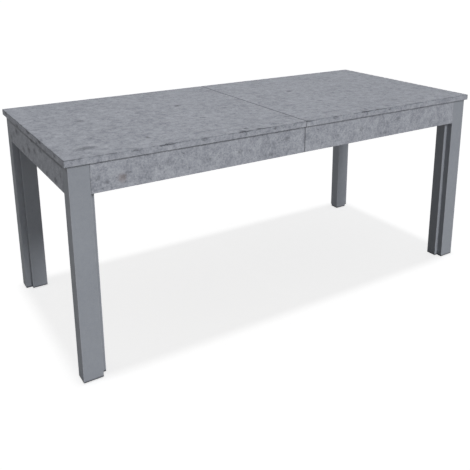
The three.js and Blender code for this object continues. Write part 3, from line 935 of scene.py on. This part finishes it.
for node in nodes_like("brace_"):
    lo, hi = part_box(node)
    side, face = side_of(node), face_of(node)
    start = Vector((lo.x if side > 0 else hi.x, hi.y if face > 0 else lo.y, 0))
    end = Vector((hi.x if side > 0 else lo.x, lo.y if face > 0 else hi.y, 0))
    heights = (lo.z + BRACE_SCREW_INSET, hi.z - BRACE_SCREW_INSET)
    places = [start.lerp(end, part) + Vector((0, 0, z)) for part in BRACE_SCREW_PARTS for z in heights]
    screws(node, places, (-side, -face, 0))


# ---------------------------------------------------------------- plastic ends of the runners


def plug(name, lo, hi, body):
    """A moulded block with rounded edges."""
    bm = block(Vector(lo), Vector(hi))
    round_edges(bm, PLUG_BEVEL, 2)
    new_piece(name, bm, BLACK_PLASTIC, body)


for node in nodes_like("runner_channel_"):
    lo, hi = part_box(node)
    if side_of(node) > 0:
        ends = (hi.x - PLUG_LENGTH, hi.x - PLUG_GAP)
    else:
        ends = (lo.x + PLUG_GAP, lo.x + PLUG_LENGTH)
    plug(
        f"{node}_end_plug",
        (ends[0], lo.y + CHANNEL_WALL + PLUG_GAP, lo.z + CHANNEL_WALL + PLUG_GAP),
        (ends[1], hi.y - CHANNEL_WALL - PLUG_GAP, hi.z - CHANNEL_WALL - PLUG_GAP),
        body_of(node),
    )
for node in nodes_like("runner_slider_"):
    lo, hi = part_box(node)
    for name, start in (("left", lo.x + PLUG_GAP), ("right", hi.x - PLUG_GAP - PLUG_LENGTH)):
        plug(
            f"{node}_end_plug_{name}",
            (start, lo.y + SLIDER_WALL + PLUG_GAP, lo.z + PLUG_GAP),
            (start + PLUG_LENGTH, hi.y - SLIDER_WALL - PLUG_GAP, hi.z - SLIDER_WALL - PLUG_GAP),
            body_of(node),
        )


# ---------------------------------------------------------------- stage, light and camera


def build_floor():
    """A plain pale floor. It is lit softly, and what the camera sees of it is lifted to the paper white of
    a studio backdrop, so that only the table's own shadow shows on it."""
    mesh = bpy.data.meshes.new("floor")
    corners = [(x * FLOOR_HALF, y * FLOOR_HALF, 0) for x, y in ((-1, -1), (1, -1), (1, 1), (-1, 1))]
    mesh.from_pydata(corners, [], [(0, 1, 2, 3)])
    floor = bpy.data.objects.new("floor", mesh)
    bpy.context.scene.collection.objects.link(floor)
    material = bpy.data.materials.new("floor")
    material.use_nodes = True
    tree = material.node_tree
    surface = tree.nodes["Principled BSDF"]
    surface.inputs["Base Color"].default_value = (FLOOR_ALBEDO, FLOOR_ALBEDO, FLOOR_ALBEDO, 1)
    surface.inputs["Roughness"].default_value = 1.0
    surface.inputs["Specular IOR Level"].default_value = 0.0
    surface.inputs["Emission Color"].default_value = (1, 1, 1, 1)
    path = tree.nodes.new("ShaderNodeLightPath")
    lift = tree.nodes.new("ShaderNodeMapRange")
    lift.inputs["To Min"].default_value = FLOOR_BOUNCE
    lift.inputs["To Max"].default_value = FLOOR_LIFT
    tree.links.new(path.outputs["Is Camera Ray"], lift.inputs["Value"])
    tree.links.new(lift.outputs["Result"], surface.inputs["Emission Strength"])
    mesh.materials.append(material)
    return floor


def build_world():
    """An even white sky. The camera sees it at its own strength."""
    world = bpy.data.worlds.new("studio")
    bpy.context.scene.world = world
    world.use_nodes = True
    tree = world.node_tree
    background = tree.nodes["Background"]
    background.inputs["Color"].default_value = (1.0, 1.0, 1.0, 1)
    path = tree.nodes.new("ShaderNodeLightPath")
    mix = tree.nodes.new("ShaderNodeMapRange")
    mix.inputs["To Min"].default_value = SKY
    mix.inputs["To Max"].default_value = SKY_SEEN
    tree.links.new(path.outputs["Is Camera Ray"], mix.inputs["Value"])
    tree.links.new(mix.outputs["Result"], background.inputs["Strength"])


def build_light(name, strength, direction, spread):
    """A soft distant light, as wide as spread in degrees."""
    data = bpy.data.lights.new(name, "SUN")
    data.energy = strength * math.pi
    data.angle = math.radians(spread)
    light = bpy.data.objects.new(name, data)
    light.rotation_euler = Vector(direction).to_track_quat("Z", "Y").to_euler()
    light.visible_glossy = False
    bpy.context.scene.collection.objects.link(light)
    return light


floor = build_floor()
build_world()
off_the_floor = bpy.data.collections.new("lit by the overhead light alone")
off_the_floor.objects.link(floor)
off_the_floor.collection_objects[0].light_linking.link_state = "EXCLUDE"
for name, strength, direction, spread in LIGHTS:
    light = build_light(name, strength, direction, spread)
    if name != "overhead":
        light.light_linking.receiver_collection = off_the_floor

camera_data = bpy.data.cameras.new("camera")
camera_data.lens = CAMERA_LENS
camera_data.sensor_width = CAMERA_SENSOR
camera_data.shift_x = CAMERA_SHIFT_X
camera_data.shift_y = CAMERA_SHIFT_Y
camera = bpy.data.objects.new("camera", camera_data)
camera.location = CAMERA_PLACE
camera.rotation_euler = (math.pi / 2 - CAMERA_PITCH, 0, -CAMERA_YAW)
bpy.context.scene.collection.objects.link(camera)
bpy.context.scene.camera = camera
bpy.context.scene.view_settings.view_transform = "Standard"
